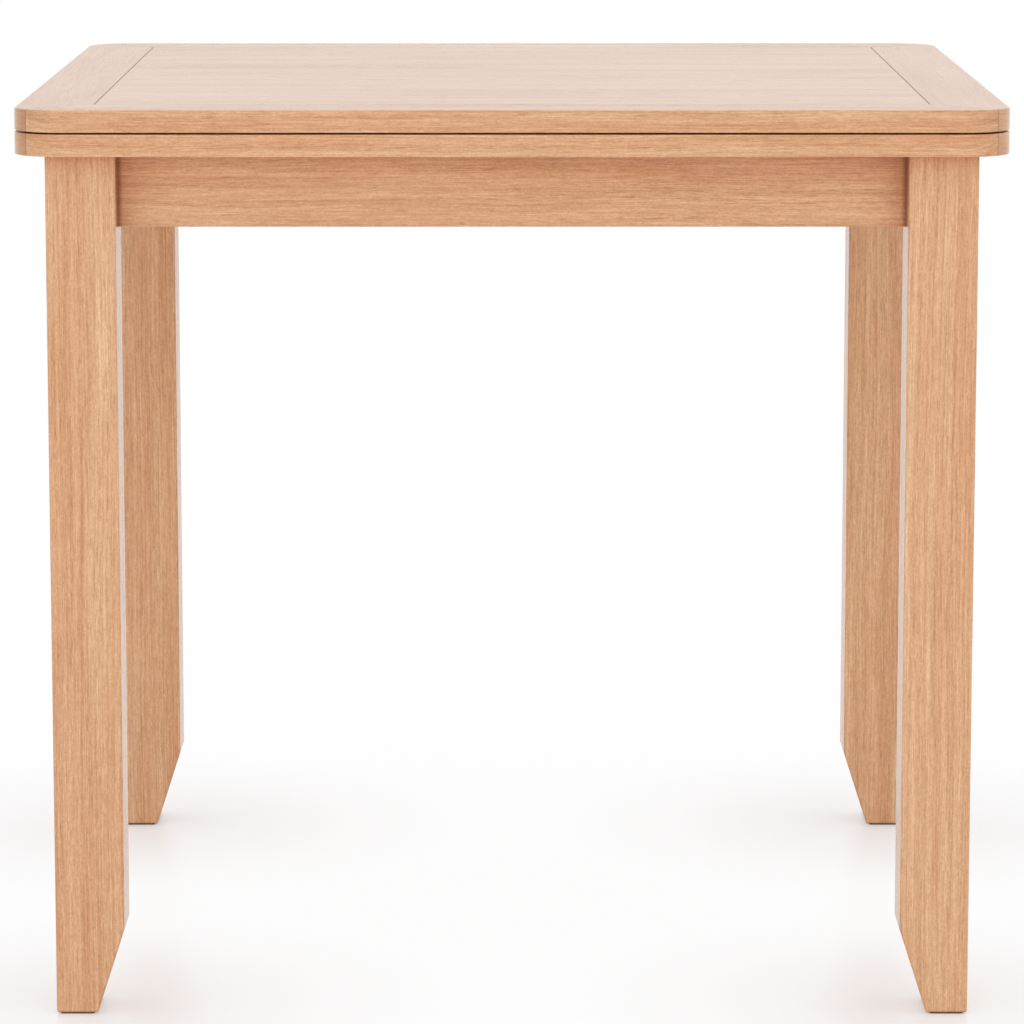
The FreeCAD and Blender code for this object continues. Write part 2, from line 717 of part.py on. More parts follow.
def leg():
    """Square, with the inner side cut back to the foot's width, and rounded arrises."""
    profile = [
        corner_point(0, 0, FOOT_PAD_THICKNESS),
        corner_point(FOOT_WIDTH, 0, FOOT_PAD_THICKNESS),
        corner_point(LEG_SIZE, 0, FOOT_TAPER_HEIGHT),
        corner_point(LEG_SIZE, 0, FRAME_TOP_Z),
        corner_point(0, 0, FRAME_TOP_Z),
    ]
    post = prism(profile, Vector(0, LEG_SIZE, 0))
    arrises = [edge for edge in post.Edges if edge.BoundBox.ZLength > LEG_ARRIS]
    post = post.makeFillet(LEG_ARRIS, arrises)
    post = post.makeFillet(FOOT_ARRIS, edges_at_height(post, FOOT_PAD_THICKNESS))
    leg_flat, _, _ = block_diagonal()
    start, _ = bolt_span()
    bolt_hole = rod(
        BOLT_RADIUS + FIT, on_diagonal(start - HOLE_END), DIAGONAL, BOLT_IN_LEG + HOLE_END + LEG_SIZE
    )
    flat = [
        corner_point(LEG_SIZE + CUT, LEG_SIZE - LEG_FLAT - CUT, APRON_Z),
        corner_point(LEG_SIZE + CUT, LEG_SIZE + CUT, APRON_Z),
        corner_point(LEG_SIZE - LEG_FLAT - CUT, LEG_SIZE + CUT, APRON_Z),
    ]
    flat_cut = prism(flat, Vector(0, 0, APRON_HEIGHT + CUT))
    glide = glide_disc(leg_glide_point(), POCKET_CLEARANCE)
    return cut_all(post, corner_dowels(FIT, HOLE_END) + [bolt_hole, flat_cut, glide])


def foot_pad():
    width = FOOT_WIDTH - 2 * FOOT_PAD_INSET
    depth = LEG_SIZE - 2 * FOOT_PAD_INSET
    pad = rounded_plate(width, depth, FOOT_PAD_THICKNESS, FOOT_PAD_CORNER)
    return pad.translated(corner_point(FOOT_WIDTH / 2, LEG_SIZE / 2, 0))


def mirrored(shape, side, end):
    """A front left piece, brought to the named corner."""
    if side == "right":
        shape = shape.mirror(ORIGIN, X_AXIS)
    if end == "back":
        shape = shape.mirror(ORIGIN, Y_AXIS)
    return shape


def corners():
    return [(end, side) for end in ("front", "back") for side in ("left", "right")]


def at_each_corner(solids):
    return Part.makeCompound(
        [mirrored(solid, side, end) for end, side in corners() for solid in solids]
    )


# --- Aprons and cross rails ------------------------------------------------------------------
def cross_rails():
    """Centre and width of each rail, both running left to right."""
    return {"pivot_rail": (PIVOT_XY, PIVOT_RAIL_WIDTH), "support_rail": (-PIVOT_XY, SUPPORT_RAIL_WIDTH)}


def rail_dowels(clearance, end_clearance):
    """At the rails' left ends."""
    start_x = FRAME_LEFT + APRON_INNER - RAIL_DOWEL_IN_APRON - end_clearance
    length = RAIL_DOWEL_IN_APRON + RAIL_DOWEL_IN_RAIL + 2 * end_clearance
    dowels = []
    for y, width in cross_rails().values():
        spread = width / 2 - RAIL_DOWEL_EDGE
        for dowel_y in (y - spread, y + spread):
            start = Vector(start_x, dowel_y, RAIL_Z + RAIL_THICKNESS / 2)
            dowels.append(rod(DOWEL_RADIUS + clearance, start, X_AXIS, length))
    return dowels


def both_ends(solids):
    return solids + [mirrored(solid, "left", "back") for solid in solids]


def both_sides(solids):
    return solids + [mirrored(solid, "right", "front") for solid in solids]


def apron(x0, x1, y0, y1):
    board = box(x0, x1, y0, y1, APRON_Z, FRAME_TOP_Z)
    lower = edges_at_height(board, APRON_Z)
    length = max(x1 - x0, y1 - y0)
    return board.makeFillet(APRON_ARRIS, [edge for edge in lower if edge.Length > length - 1])


def front_apron():
    left = FRAME_LEFT + LEG_SIZE
    front = FRAME_FRONT + APRON_RECESS
    board = apron(left, -left, front, front + APRON_THICKNESS)
    return cut_all(board, both_sides(corner_dowels(FIT, HOLE_END) + block_screw_holes()))


def left_apron():
    left = FRAME_LEFT + APRON_RECESS
    front = FRAME_FRONT + LEG_SIZE
    board = apron(left, left + APRON_THICKNESS, front, -front)
    holes = both_ends(corner_dowels(FIT, HOLE_END) + block_screw_holes())
    return cut_all(board, holes + rail_dowels(FIT, HOLE_END))


def cross_rail(name):
    y, width = cross_rails()[name]
    end_x = FRAME_LEFT + APRON_INNER
    rail = box(end_x, -end_x, y - width / 2, y + width / 2, RAIL_Z, FRAME_TOP_Z)
    glides = [glide_disc(point, POCKET_CLEARANCE) for point in rail_glide_points()]
    return cut_all(rail, both_sides(rail_dowels(FIT, HOLE_END)) + glides)


def pivot_rail():
    bush_hole = rod(BUSH_RADIUS + FIT, pivot_point(RAIL_Z - CUT), Z_AXIS, RAIL_THICKNESS + 2 * CUT)
    return cut_all(cross_rail("pivot_rail"), [bush_hole, stop_slot()])


# --- Glides and bumpers ----------------------------------------------------------------------
def leg_glide_point():
    return corner_point(LEG_SIZE / 2, LEG_SIZE / 2, FRAME_TOP_Z)


def rail_glide_points():
    left_x = -GLIDE_SPACING / 2
    return [
        Vector(left_x, -PIVOT_XY, FRAME_TOP_Z),
        Vector(-left_x, -PIVOT_XY, FRAME_TOP_Z),
        Vector(left_x, PIVOT_XY, FRAME_TOP_Z),
    ]


def glide_disc(point, clearance):
    start = point - Z_AXIS * GLIDE_DEPTH
    return rod(GLIDE_RADIUS + clearance, start, Z_AXIS, GLIDE_DEPTH + GLIDE_RISE)


def leaf_glides():
    at_legs = at_each_corner([glide_disc(leg_glide_point(), 0)]).Solids
    return Part.makeCompound(at_legs + [glide_disc(point, 0) for point in rail_glide_points()])


def leaf_bumpers():
    x = TOP_WIDTH / 2 - BUMPER_EDGE_DISTANCE
    y = BUMPER_SPACING / 2
    return Part.makeCompound(
        [
            rod(BUMPER_RADIUS, Vector(side * x, end * y, LOWER_LEAF_TOP_Z), Z_AXIS, LEAF_GAP)
            for side in (-1, 1)
            for end in (-1, 1)
        ]
    )


# --- The whole table -------------------------------------------------------------------------
def table():
    parts = {}
    for name, shape in leaf_parts(FACE_ARRIS).items():
        parts[f"upper_{name}"] = as_upper(shape)
    for name, shape in leaf_parts(UNDER_ARRIS).items():
        parts[f"lower_{name}"] = as_lower(shape)
    parts["lower_leaf_panel"] = parts["lower_leaf_panel"].cut(swivel_pocket())
    parts["leaf_bumpers"] = leaf_bumpers()
    for place, x in hinge_positions().items():
        parts[f"hinge_link_{place}"] = hinge_link(x)
    parts["hinge_pins"] = hinge_pins()
    parts.update(swivel_parts())
    for end, side in corners():
        parts[f"leg_{end}_{side}"] = mirrored(leg(), side, end)
        parts[f"foot_pad_{end}_{side}"] = mirrored(foot_pad(), side, end)
        parts[f"corner_block_{end}_{side}"] = mirrored(corner_block(), side, end)
    parts["corner_block_screws"] = at_each_corner(block_screws())
    parts["hanger_bolts"] = at_each_corner([hanger_bolt()])
    parts["hanger_washers"] = at_each_corner([hanger_washer()])
    parts["hanger_nuts"] = at_each_corner([hanger_nut()])
    parts["apron_dowels"] = at_each_corner(corner_dowels(0, 0))
    parts["rail_dowels"] = Part.makeCompound(both_sides(rail_dowels(0, 0)))
    parts["apron_front"] = front_apron()
    parts["apron_back"] = mirrored(front_apron(), "left", "back")
    parts["apron_left"] = left_apron()
    parts["apron_right"] = mirrored(left_apron(), "right", "front")
    parts["pivot_rail"] = pivot_rail()
    parts["support_rail"] = cross_rail("support_rail")
    parts["leaf_glides"] = leaf_glides()
    return parts


os.makedirs("parts", exist_ok=True)
for node, solid in table().items():
    solid.exportStep(f"parts/{node}.step")
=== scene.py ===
import math

import bpy
from mathutils import Euler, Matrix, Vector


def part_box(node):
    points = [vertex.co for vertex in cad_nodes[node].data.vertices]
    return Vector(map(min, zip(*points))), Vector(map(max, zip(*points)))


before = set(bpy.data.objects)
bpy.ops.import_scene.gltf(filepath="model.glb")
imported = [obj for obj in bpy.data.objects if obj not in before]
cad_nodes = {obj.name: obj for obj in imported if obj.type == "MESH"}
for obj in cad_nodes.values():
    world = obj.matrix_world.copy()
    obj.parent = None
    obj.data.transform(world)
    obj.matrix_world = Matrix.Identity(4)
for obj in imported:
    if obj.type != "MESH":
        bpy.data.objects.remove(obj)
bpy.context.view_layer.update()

# ---------------------------------------------------------------- measures, in millimetres
MM = 1000.0                      # shader space is turned from metres to millimetres
HALF_TOP = 425.0                 # middle of the table to the edge of the top
TOP_RAIL_WIDTH = 66.0            # rails round the panel of each leaf
GLUE_LINE = 0.35                 # half the width of a dark glue line
GROOVE_SHADE = 0.3               # half the width of the lacquer gathered in a V-groove
LINE_FADE = 0.4                  # from the edge of a dark line to clean wood
LEG_INNER = (338.0, 345.0)       # middle of the table to the legs' inner faces, across and along
APRON_FACE = (370.0, 377.0)      # and to the aprons' outer faces
APRON_BOTTOM = 688.0             # floor to the aprons' lower edge
PANEL_STAVE = 120.0              # width of the boards glued up in a panel


# ---------------------------------------------------------------- tools for materials
def linear(hex_colour):
    """An sRGB hex colour as linear red, green, blue and an alpha of one."""
    channels = [int(hex_colour[i:i + 2], 16) / 255 for i in (1, 3, 5)]
    return [c / 12.92 if c <= 0.04045 else ((c + 0.055) / 1.055) ** 2.4 for c in channels] + [1.0]


def add(tree, kind, inputs=(), out=0, stops=(), **settings):
    """Adds a node and gives back one of its outputs. Its inputs come in order or by name: an
    output is linked, a number, vector or hex colour is set. Stops are those of a colour ramp."""
    node = tree.nodes.new("ShaderNode" + kind)
    for name, value in settings.items():
        setattr(node, name, value)
    for key, value in (inputs.items() if isinstance(inputs, dict) else enumerate(inputs)):
        if isinstance(value, bpy.types.NodeSocket):
            tree.links.new(value, node.inputs[key])
        else:
            node.inputs[key].default_value = linear(value) if isinstance(value, str) else value
    for number, (place, colour) in enumerate(stops):
        elements = node.color_ramp.elements
        element = elements[number] if number < len(elements) else elements.new(1.0)
        element.position = place
        element.color = linear(colour)
    return node.outputs[out] if node.outputs else None


def new_material(name):
    """An empty material and its node tree."""
    material = bpy.data.materials.new(name)
    material.use_nodes = True
    material.node_tree.nodes.clear()
    return material, material.node_tree


# ---------------------------------------------------------------- oak
GRAIN_TURN = {                   # turns the grain onto the shader's X axis
    "x": Euler((0, 0, 0)),
    "y": Euler((0, 0, -math.pi / 2)),
    "z": Euler((0, math.pi / 2, 0)),
}
BOARD_SHIFT = 1370.0             # mm, along the grain, from one seed's board to the next
STAVE_SHIFT = (3000.0, 50.0, 25.0)  # mm, along, across and through, most that two staves differ
RING_WIDTH = 2.2                 # mm, one year's growth
STREAK_LENGTH = 320.0            # mm, over which a streak of grain fades in and out
BUNDLE_LENGTH = 160.0            # mm, over which a bundle of fibres changes shade
BUNDLE_WIDTH = 0.8               # mm, a real bundle is finer, and this one shows
BUNDLE_SHIFT = 9.7               # apart in the noise, so that bundles differ from each other
PORE_LENGTH = 14.0               # mm, a row of open vessels cut along the grain
PORE_WIDTH = 0.9                 # mm, wider than a real vessel, so that it shows
TONE_WIDTH = 17.0                # mm, bands of warmer and yellower wood
TONE_LENGTH = 420.0              # mm
WANDER_LENGTH = 330.0            # mm, along the grain, over which it leans to one side
WANDER_WIDTH = 90.0              # mm, across the grain, over which it leans alike
WANDER = 6.0                     # mm, how far it leans
CREVICE_REACH = 60.0             # mm, over which hidden corners get a painted shade, deeper and warmer
FACING = 0.29                    # lifts the part of a normal past 1 that lies within 45 degrees
STREAK_SHARE = 0.2               # of the grain's shade, the rest is from the bundles
PORE_SHADE = 0.35                # how far a pore darkens, where 1 is its own brown all through
JOINT_SHADE = 0.6                # the same for a glue line or groove
PAINTED_CORNER_SHADE = 0.6               # the same for the painted shade beside a leg


def staves(tree, board, width):
    """Takes each glued-up stave of a panel from another part of the tree."""
    across = add(tree, "SeparateXYZ", (board,), out="Y")
    number = add(tree, "Math", (
        add(tree, "Math", (across, width), operation="DIVIDE"),), operation="ROUND")
    chance = add(tree, "TexWhiteNoise", {"W": number}, out="Color", noise_dimensions="1D")
    back = add(tree, "CombineXYZ", {
        "Y": add(tree, "Math", (number, width), operation="MULTIPLY")})
    local = add(tree, "VectorMath", (board, back), operation="SUBTRACT")
    return add(tree, "VectorMath", (chance, STAVE_SHIFT, local), operation="MULTIPLY_ADD")


def joint_lines(tree, place, part):
    """The fine dark lines where the boards of a leaf meet: across the ends of the panel in the
    V-grooves, and as glue lines along its sides and at the mitres."""
    sides = add(tree, "VectorMath", (place,), operation="ABSOLUTE")
    x = add(tree, "SeparateXYZ", (sides,), out="X")
    y = add(tree, "SeparateXYZ", (sides,), out="Y")
    panel_edge = (HALF_TOP - TOP_RAIL_WIDTH) / MM

    def line(a, b, half_width):
        gap = add(tree, "Math", (add(tree, "Math", (a, b), operation="SUBTRACT"),),
                  operation="ABSOLUTE")
        return add(tree, "MapRange", {
            "Value": gap, "From Min": half_width / MM, "From Max": (half_width + LINE_FADE) / MM,
            "To Min": 1.0, "To Max": 0.0})

    mitre = line(x, y, GLUE_LINE)
    along_side = line(y, panel_edge, GLUE_LINE)
    groove = line(x, panel_edge, GROOVE_SHADE)
    pair = {"panel": (along_side, groove), "front_rail": (mitre, along_side),
            "back_rail": (mitre, along_side)}.get(part, (mitre, groove))
    return add(tree, "Math", pair, operation="MAXIMUM")


def painted_corner_shade(tree, place, reach):
    """Painted shade in the inner corners beside the legs, where the aprons meet them, above the
    aprons' lower edge. The reach is in millimetres."""
    sides = add(tree, "VectorMath", (place,), operation="ABSOLUTE")
    nearest = 1.0
    for x, y in ((LEG_INNER[0], APRON_FACE[1]), (APRON_FACE[0], LEG_INNER[1])):
        away = add(tree, "VectorMath", (
            sides, (1, 1, 0), (-x / MM, -y / MM, 0)), operation="MULTIPLY_ADD")
        far = add(tree, "VectorMath", (away,), out="Value", operation="LENGTH")
        nearest = add(tree, "Math", (nearest, far), operation="MINIMUM")
    shade = add(tree, "MapRange", {
        "Value": nearest, "From Max": reach / MM, "To Min": PAINTED_CORNER_SHADE, "To Max": 0.0,
    }, interpolation_type="SMOOTHSTEP")
    above = add(tree, "Math", (
        add(tree, "SeparateXYZ", (place,), out="Z"), APRON_BOTTOM / MM), operation="GREATER_THAN")
    return add(tree, "Math", (shade, above), operation="MULTIPLY")


def fibre_bundles(tree, sample, grainline, normal, calm):
    """A shade for each bundle of fibres, which changes slowly along it. The bundles lie side by
    side in the surface, so the way into the board drops out."""
    into = add(tree, "VectorMath", (add(tree, "VectorMath", (
        normal, (FACING, FACING, FACING)), operation="ADD"),), operation="FLOOR")
    surface = add(tree, "VectorMath", (
        grainline, add(tree, "VectorMath", ((1, 1, 1), into), operation="SUBTRACT")),
        operation="MULTIPLY")
    bundle = add(tree, "VectorMath", (
        surface, (0, BUNDLE_WIDTH, BUNDLE_WIDTH)), operation="SNAP")
    lengthwise = add(tree, "VectorMath", (sample, (1 / (BUNDLE_LENGTH * calm), 0, 0)),
                     operation="MULTIPLY")
    return add(tree, "TexNoise", {
        "Vector": add(tree, "VectorMath", (
            bundle, (0, BUNDLE_SHIFT, BUNDLE_SHIFT), lengthwise), operation="MULTIPLY_ADD"),
        "Scale": 1.0, "Detail": 7.0, "Roughness": 1.0})


def open_pores(tree, grainline, early_wood, calm):
    """Short dashes along the grain, close together in the early wood of each year."""
    vessels = add(tree, "TexNoise", {
        "Vector": add(tree, "VectorMath", (
            grainline, (1 / (PORE_LENGTH * calm), 1 / PORE_WIDTH, 1 / PORE_WIDTH)),
            operation="MULTIPLY"),
        "Scale": 1.0, "Detail": 1.0, "Roughness": 0.5})
    dash = add(tree, "MapRange", {
        "Value": vessels, "From Min": 0.55, "From Max": 0.67, "To Max": 1 / calm,
    }, interpolation_type="SMOOTHSTEP")
    dense = add(tree, "MapRange", {
        "Value": early_wood, "From Min": 0.40, "From Max": 0.60}, interpolation_type="SMOOTHSTEP")
    return add(tree, "Math", (dash, dense), operation="MULTIPLY")


def with_painted_crevice_shade(tree, place, colour):
    """The colour with a painted shade, deeper and warmer, in gaps and under overhangs, as if light
    had gone from wood to wood, but not where the feet stand on the floor."""
    openness = add(tree, "AmbientOcclusion", {"Distance": CREVICE_REACH / MM}, out="AO", samples=8)
    deeper = add(tree, "ValToRGB", (openness,), stops=(
        (0.0, "#ffa850"), (0.22, "#f0bc88"), (0.45, "#f6dbc6"), (0.68, "#fcf4ef"),
        (0.9, "#ffffff")))
    off_floor = add(tree, "MapRange", {
        "Value": add(tree, "SeparateXYZ", (place,), out="Z"),
        "From Min": 0.5 * CREVICE_REACH / MM, "From Max": 2 * CREVICE_REACH / MM})
    return add(tree, "Mix", {0: off_floor, 6: colour, 7: deeper},
               out=2, data_type="RGBA", blend_type="MULTIPLY")


def lacquered_oak(node, grain, pith, seed, tone, joints="", stave=0.0, calm=1.0, end=0.7,
                  corners=0.0):
    """Light oak, planed and sanded, under a satin lacquer: straight tan grain in fine bundles,
    warmer bands, short dark pores in the early wood, darker end grain, and a soft sheen that
    pales at a low angle, with painted shade in gaps and under overhangs. The growth rings centre
    on the pith, in millimetres across and through the board from its middle, so that faces and
    ends show what a sawn board shows. A calm board has longer, fainter grain. The end is how far
    its end grain darkens, and the corners how far a painted shade reaches from the inner corners
    beside the legs, in millimetres."""
    material, tree = new_material("satin_oak_" + node)
    place = add(tree, "TexCoord", out="Object")
    turn = GRAIN_TURN[grain]
    low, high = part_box(node)
    middle = (low + high) / 2 * MM
    middle.rotate(turn)
    board = add(tree, "Mapping", {
        "Vector": place, "Location": -middle, "Rotation": turn, "Scale": (MM, MM, MM)})
    if stave:
        board = staves(tree, board, stave)
    sample = add(tree, "VectorMath", (board, (seed * BOARD_SHIFT, 0, 0)), operation="ADD")
    lean = add(tree, "TexNoise", {
        "Vector": add(tree, "VectorMath", (
            sample, (1 / WANDER_LENGTH, 1 / WANDER_WIDTH, 1 / WANDER_WIDTH)),
            operation="MULTIPLY"),
        "Scale": 1.0, "Detail": 1.5, "Roughness": 0.45}, out="Color")
    grainline = add(tree, "VectorMath", (
        lean, (0, 2 * WANDER, 2 * WANDER), sample), operation="MULTIPLY_ADD")
    across = add(tree, "VectorMath", (
        grainline, (0, 1, 1), (0, -pith[0] - WANDER, -pith[1] - WANDER)),
        operation="MULTIPLY_ADD")
    ring = add(tree, "VectorMath", (across,), out="Value", operation="LENGTH")
    along = add(tree, "SeparateXYZ", (sample,), out="X")

    def rings(length, width, roughness, layer):
        """Shades drawn out along the grain and following the growth rings."""
        return add(tree, "TexNoise", {
            "Vector": add(tree, "CombineXYZ", (
                add(tree, "Math", (along, length), operation="DIVIDE"),
                add(tree, "Math", (ring, width), operation="DIVIDE"), layer)),
            "Scale": 1.0, "Detail": 2.0, "Roughness": roughness})

    normal = add(tree, "VectorMath", (add(tree, "Mapping", {
        "Vector": add(tree, "TexCoord", out="Normal"), "Rotation": turn}),), operation="ABSOLUTE")
    shades = add(tree, "Mix", {
        0: STREAK_SHARE, 2: fibre_bundles(tree, sample, grainline, normal, calm),
        3: rings(STREAK_LENGTH, RING_WIDTH, 0.65, 11.3)}, data_type="FLOAT")
    shades = add(tree, "Math", (shades, 1 / calm ** 0.5, 0.5 - 0.5 / calm ** 0.5),
                 operation="MULTIPLY_ADD")
    ground = add(tree, "ValToRGB", (shades,), stops=(
        (0.32, "#b27b50"), (0.41, "#c59368"), (0.50, "#d8aa81"), (0.59, "#eac19a"),
        (0.68, "#f9d6b4")))
    bands = add(tree, "ValToRGB", (
        add(tree, "Math", (rings(TONE_LENGTH, TONE_WIDTH, 0.5, 3.7), tone), operation="ADD"),),
        stops=((0.34, "#fffffd"), (0.66, "#f3e5dc")))
    warmed = add(tree, "Mix", {0: 1.0, 6: ground, 7: bands},
                 out=2, data_type="RGBA", blend_type="MULTIPLY")
    early_wood = rings(STREAK_LENGTH * 2, RING_WIDTH * 1.6, 0.5, 23.9)
    pore = open_pores(tree, grainline, early_wood, calm)
    colour = add(tree, "Mix", {
        0: add(tree, "Math", (pore, PORE_SHADE), operation="MULTIPLY"), 6: warmed,
        7: "#97613c"}, out=2, data_type="RGBA")
    end_grain = add(tree, "Math", (add(tree, "SeparateXYZ", (normal,), out="X"), end),
                    operation="MULTIPLY")
    colour = add(tree, "Mix", {0: end_grain, 6: colour, 7: "#8f5c38"}, out=2, data_type="RGBA")
    dull = pore
    # painted shade in the inner corners beside the legs, darkest at the corner
    if corners:
        colour = add(tree, "Mix", {
            0: painted_corner_shade(tree, place, corners), 6: colour, 7: "#6e3512"},
            out=2, data_type="RGBA")
    if joints:
        lines = joint_lines(tree, place, joints)
        colour = add(tree, "Mix", {
            0: add(tree, "Math", (lines, JOINT_SHADE), operation="MULTIPLY"), 6: colour,
            7: "#6b4429"}, out=2, data_type="RGBA")
        dull = add(tree, "Math", (pore, lines), operation="MAXIMUM")
    # painted shade, deeper and warmer, in gaps and under overhangs
    colour = with_painted_crevice_shade(tree, place, colour)
    height = add(tree, "Math", (1.0, pore), operation="SUBTRACT")
    shader = add(tree, "BsdfPrincipled", {
        "Base Color": colour, "IOR": 1.4, "Coat Weight": 0.2, "Coat Roughness": 0.2,
        "Roughness": add(tree, "MapRange", {"Value": dull, "To Min": 0.24, "To Max": 0.6}),
        "Normal": add(tree, "Bump", {"Height": height, "Strength": 0.3, "Distance": 0.0002})})
    add(tree, "OutputMaterial", (shader,))
    return material


for leaf, layer in (("upper_leaf_", 0), ("lower_leaf_", 30)):
    for part, grain, pith, seed, tone, stave, calm, end in (
            ("panel", "x", (0, -90), 1, -0.12, PANEL_STAVE, 1.6, 0.7),
            ("front_rail", "x", (20, -80), 2, 0.02, 0.0, 1.0, 0.2),
            ("back_rail", "x", (-15, -85), 3, 0.02, 0.0, 1.0, 0.2),
            ("left_rail", "y", (8, -45), 4, 0.13, 0.0, 4.0, 0.7),
            ("right_rail", "y", (-12, -60), 5, 0.03, 0.0, 4.0, 0.4)):
        node = leaf + part
        cad_nodes[node].data.materials[0] = lacquered_oak(
            node, grain, pith, seed + layer, tone, part, stave, calm, end)
# the last column is how far the painted shade reaches from the inner corners, in millimetres
for node, grain, pith, seed, tone, corners in (
        ("leg_front_left", "z", (60, -130), 11, 0.02, 30.0),
        ("leg_front_right", "z", (75, 120), 12, 0.0, 30.0),
        ("leg_back_left", "z", (-50, -140), 13, 0.02, 30.0),
        ("leg_back_right", "z", (70, 135), 14, 0.0, 30.0),
        ("apron_front", "x", (60, -40), 21, 0.02, 5.0),
        ("apron_back", "x", (-60, 45), 22, 0.02, 5.0),
        ("apron_left", "y", (55, -50), 23, 0.02, 5.0),
        ("apron_right", "y", (-60, 40), 24, 0.02, 5.0)):
    cad_nodes[node].data.materials[0] = lacquered_oak(
        node, grain, pith, seed, tone, corners=corners)


# ---------------------------------------------------------------- wood inside the frame
FIBRE = (90.0, 1.5, 1.5)         # mm, a streak of fibres, along the grain and across it
FLECK = (3.5, 0.7, 0.7)          # mm, a ray fleck, twice its real width so that it shows
KNIFE_MARK = 2.0                 # mm, from one cut of the planer to the next


def bare_beech(name, turn):
    """Beech from the planer, without lacquer: even pinkish tan, strewn with short brown ray
    flecks, and across the grain the faint ripple of the planer's knives. The turn brings
    the grain onto the shader's X axis."""
    material, tree = new_material(name)
    board = add(tree, "Mapping", {
        "Vector": add(tree, "TexCoord", out="Object"), "Rotation": turn, "Scale": (MM, MM, MM)})
    fibre = add(tree, "TexNoise", {
        "Vector": add(tree, "VectorMath", (board, FIBRE), operation="DIVIDE"),
        "Scale": 1.0, "Detail": 4.0, "Roughness": 0.6})
    tan = add(tree, "ValToRGB", (fibre,), stops=(
        (0.32, "#cda27a"), (0.5, "#dab58d"), (0.68, "#e5c6a2")))
    fleck = add(tree, "MapRange", {
        "Value": add(tree, "TexNoise", {
            "Vector": add(tree, "VectorMath", (board, FLECK), operation="DIVIDE"),
            "Scale": 1.0, "Detail": 1.0, "Roughness": 0.4}),
        "From Min": 0.58, "From Max": 0.66, "To Max": 0.6}, interpolation_type="SMOOTHSTEP")
    colour = add(tree, "Mix", {0: fleck, 6: tan, 7: "#a5744a"}, out=2, data_type="RGBA")
    ripple = add(tree, "Math", (
        add(tree, "Math", (add(tree, "SeparateXYZ", (board,), out="X"), KNIFE_MARK / math.tau),
            operation="DIVIDE"),), operation="SINE")
    relief = add(tree, "Math", (ripple, 0.25, fibre), operation="MULTIPLY_ADD")
    shader = add(tree, "BsdfPrincipled", {
        "Base Color": colour, "IOR": 1.5,
        "Roughness": add(tree, "MapRange", {"Value": fibre, "To Min": 0.55, "To Max": 0.75}),
        "Normal": add(tree, "Bump", {"Height": relief, "Strength": 0.25, "Distance": 0.0002})})
    add(tree, "OutputMaterial", (shader,))
    return material


rail_beech = bare_beech("planed_beech_rail", GRAIN_TURN["x"])
rising_beech = bare_beech("planed_beech_block", Euler((0, 0, -math.pi / 4)))
falling_beech = bare_beech("planed_beech_block_other_hand", Euler((0, 0, math.pi / 4)))
dowel_beech = bare_beech("turned_beech_dowel", GRAIN_TURN["x"])


# ---------------------------------------------------------------- metal fittings
ZINC_CLOUD = 7.0                 # mm, a patch of one tint in the zinc
ZINC_BLOOM = 0.9                 # mm, its crystals, coarser than real ones so that they show
BRUSH_LINE = (12.0, 0.35, 0.35)  # mm, a line from the brush, along it and across
TARNISH = 22.0                   # mm, a patch of browner brass


def zinc_steel(name, axis=(0, 0, 0), pitch=1.0, start=0.0):
    """Steel under bright zinc: a cool silver with faint cloudy blue and straw patches and a
    fine matt bloom. Along the axis a bolt has thread ridges of the pitch in millimetres, up
    to the start, which is measured along the axis in metres."""
    material, tree = new_material(name)
    place = add(tree, "TexCoord", out="Object")
    cloud = add(tree, "TexNoise", {
        "Vector": place, "Scale": MM / ZINC_CLOUD, "Detail": 2.0, "Roughness": 0.5})
    bloom = add(tree, "TexNoise", {
        "Vector": place, "Scale": MM / ZINC_BLOOM, "Detail": 3.0, "Roughness": 0.6})
    colour = add(tree, "ValToRGB", (cloud,), stops=(
        (0.35, "#bcc3cb"), (0.5, "#cccdca"), (0.65, "#d6d0bf")))
    relief = bloom
    if any(axis):
        sides = add(tree, "VectorMath", (place,), operation="ABSOLUTE")
        along = add(tree, "VectorMath", (sides, axis), out="Value", operation="DOT_PRODUCT")
        ridge = add(tree, "Math", (along, pitch / 2 / MM), operation="PINGPONG")
        threaded = add(tree, "Math", (along, start), operation="LESS_THAN")
        relief = add(tree, "Math", (
            add(tree, "Math", (ridge, threaded), operation="MULTIPLY"), MM * 4,
            add(tree, "Math", (bloom, 0.1), operation="MULTIPLY")), operation="MULTIPLY_ADD")
    shader = add(tree, "BsdfPrincipled", {
        "Base Color": colour, "Metallic": 1.0,
        "Roughness": add(tree, "MapRange", {"Value": bloom, "To Min": 0.22, "To Max": 0.46}),
        "Normal": add(tree, "Bump", {"Height": relief, "Strength": 0.4, "Distance": 0.0003})})
    add(tree, "OutputMaterial", (shader,))
    return material


